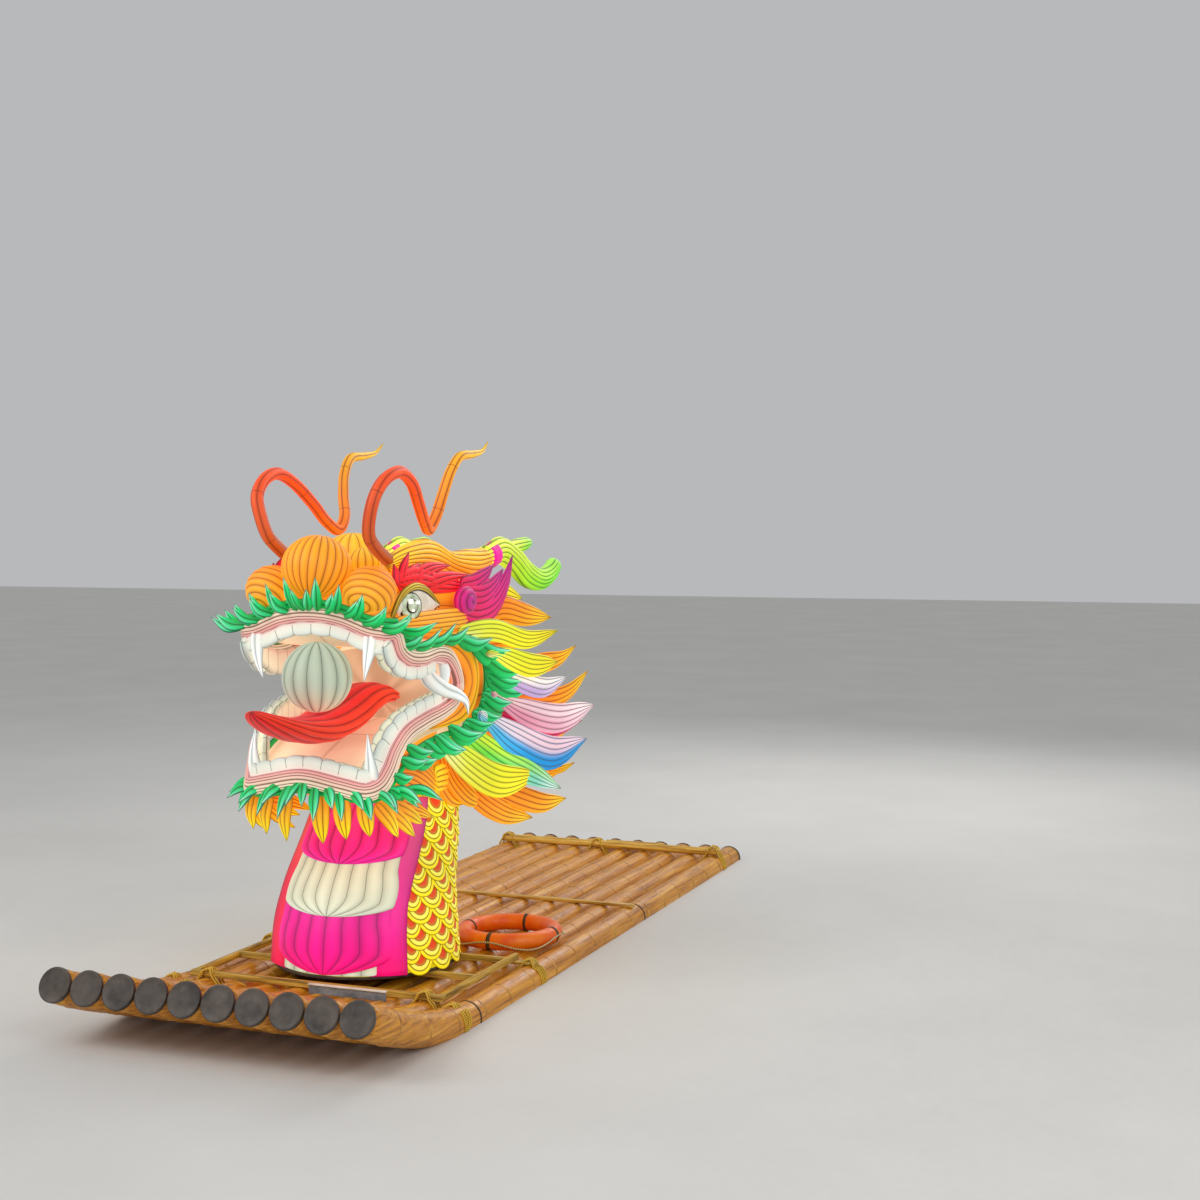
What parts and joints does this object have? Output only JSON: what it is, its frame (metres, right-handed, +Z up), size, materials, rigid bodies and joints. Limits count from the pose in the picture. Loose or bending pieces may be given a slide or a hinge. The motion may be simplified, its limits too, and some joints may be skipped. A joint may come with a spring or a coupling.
{
  "type": "bamboo raft with dragon-head lantern figurehead",
  "caption": "Passenger raft of side-by-side bamboo-look pipes with turned-up bows, deck frame, cross poles, life ring and a dragon-head silk lantern at the bow.",
  "frame": {"origin": "under the middle of the raft, level with the bottom of the pipes", "axes": "+Z up, +Y towards the stern, +X to the left side as the dragon looks"},
  "size_m": [2.117, 6.7884, 3.5942],
  "materials": {
    "pipe": "bamboo-look pipe wall, satin",
    "timber": "weathered sawn batten",
    "ring": "moulded foam-filled shell",
    "plinth": "dark painted board",
    "scale_silk": "painted lantern silk, yellow scales",
    "belly_silk": "painted lantern silk, magenta",
    "lining_silk": "lantern silk, peach",
    "head_silk": "painted lantern silk, orange",
    "lip_silk": "ribbed lantern silk, cream and pink",
    "tooth_silk": "lantern silk, greenish white",
    "tongue_silk": "lantern silk, red",
    "pearl_silk": "lantern silk in gores, grey green",
    "leaf_silk": "lantern silk, emerald",
    "mane_silk": "painted lantern silk, many colours",
    "feeler_silk": "lantern silk tube, red to yellow",
    "horn_silk": "lantern silk, yellow green",
    "flame_silk": "lantern silk, red",
    "swirl_silk": "lantern silk, magenta",
    "eye_shell": "painted dome, glossy"
  },
  "bodies": {
    "root": {"pipe_01": "pipe", "pipe_02": "pipe", "pipe_03": "pipe", "pipe_04": "pipe", "pipe_05": "pipe", "pipe_06": "pipe", "pipe_07": "pipe", "pipe_08": "pipe", "pipe_09": "pipe", "pipe_10": "pipe", "frame_bar_front": "timber", "frame_bar_mid": "timber", "frame_bar_back": "timber", "frame_bar_side_l": "timber", "frame_bar_side_r": "timber", "cross_batten": "timber", "cross_pole_mid": "timber", "cross_pole_stern": "timber", "life_ring": "ring", "plinth": "plinth", "neck": "scale_silk", "belly_plate_2": "belly_silk", "belly_plate_3": "belly_silk", "belly_plate_4": "belly_silk", "belly_plate_1": "tooth_silk", "skull": "head_silk", "throat": "lining_silk", "lower_jaw": "head_silk", "upper_lip": "lip_silk", "lower_lip": "lip_silk", "upper_teeth": "tooth_silk", "lower_teeth": "tooth_silk", "pearl": "pearl_silk", "tongue": "tongue_silk", "nose": "head_silk", "forehead": "head_silk", "moustache": "leaf_silk", "beard": "scale_silk", "nostril_l": "head_silk", "nostril_r": "head_silk", "brow_l": "head_silk", "brow_r": "head_silk", "feeler_l": "feeler_silk", "feeler_r": "feeler_silk", "horn_l": "horn_silk", "horn_r": "horn_silk", "eye_l": "eye_shell", "eye_r": "eye_shell", "eyebrow_l": "flame_silk", "eyebrow_r": "flame_silk", "temple_swirl_l": "swirl_silk", "temple_swirl_r": "swirl_silk", "cheek_l": "head_silk", "cheek_r": "head_silk", "cheek_leaves_l": "leaf_silk", "cheek_leaves_r": "leaf_silk", "tusk_l": "tooth_silk", "tusk_r": "tooth_silk", "mane_l": "mane_silk", "mane_r": "mane_silk"}
  },
  "joints": []
}
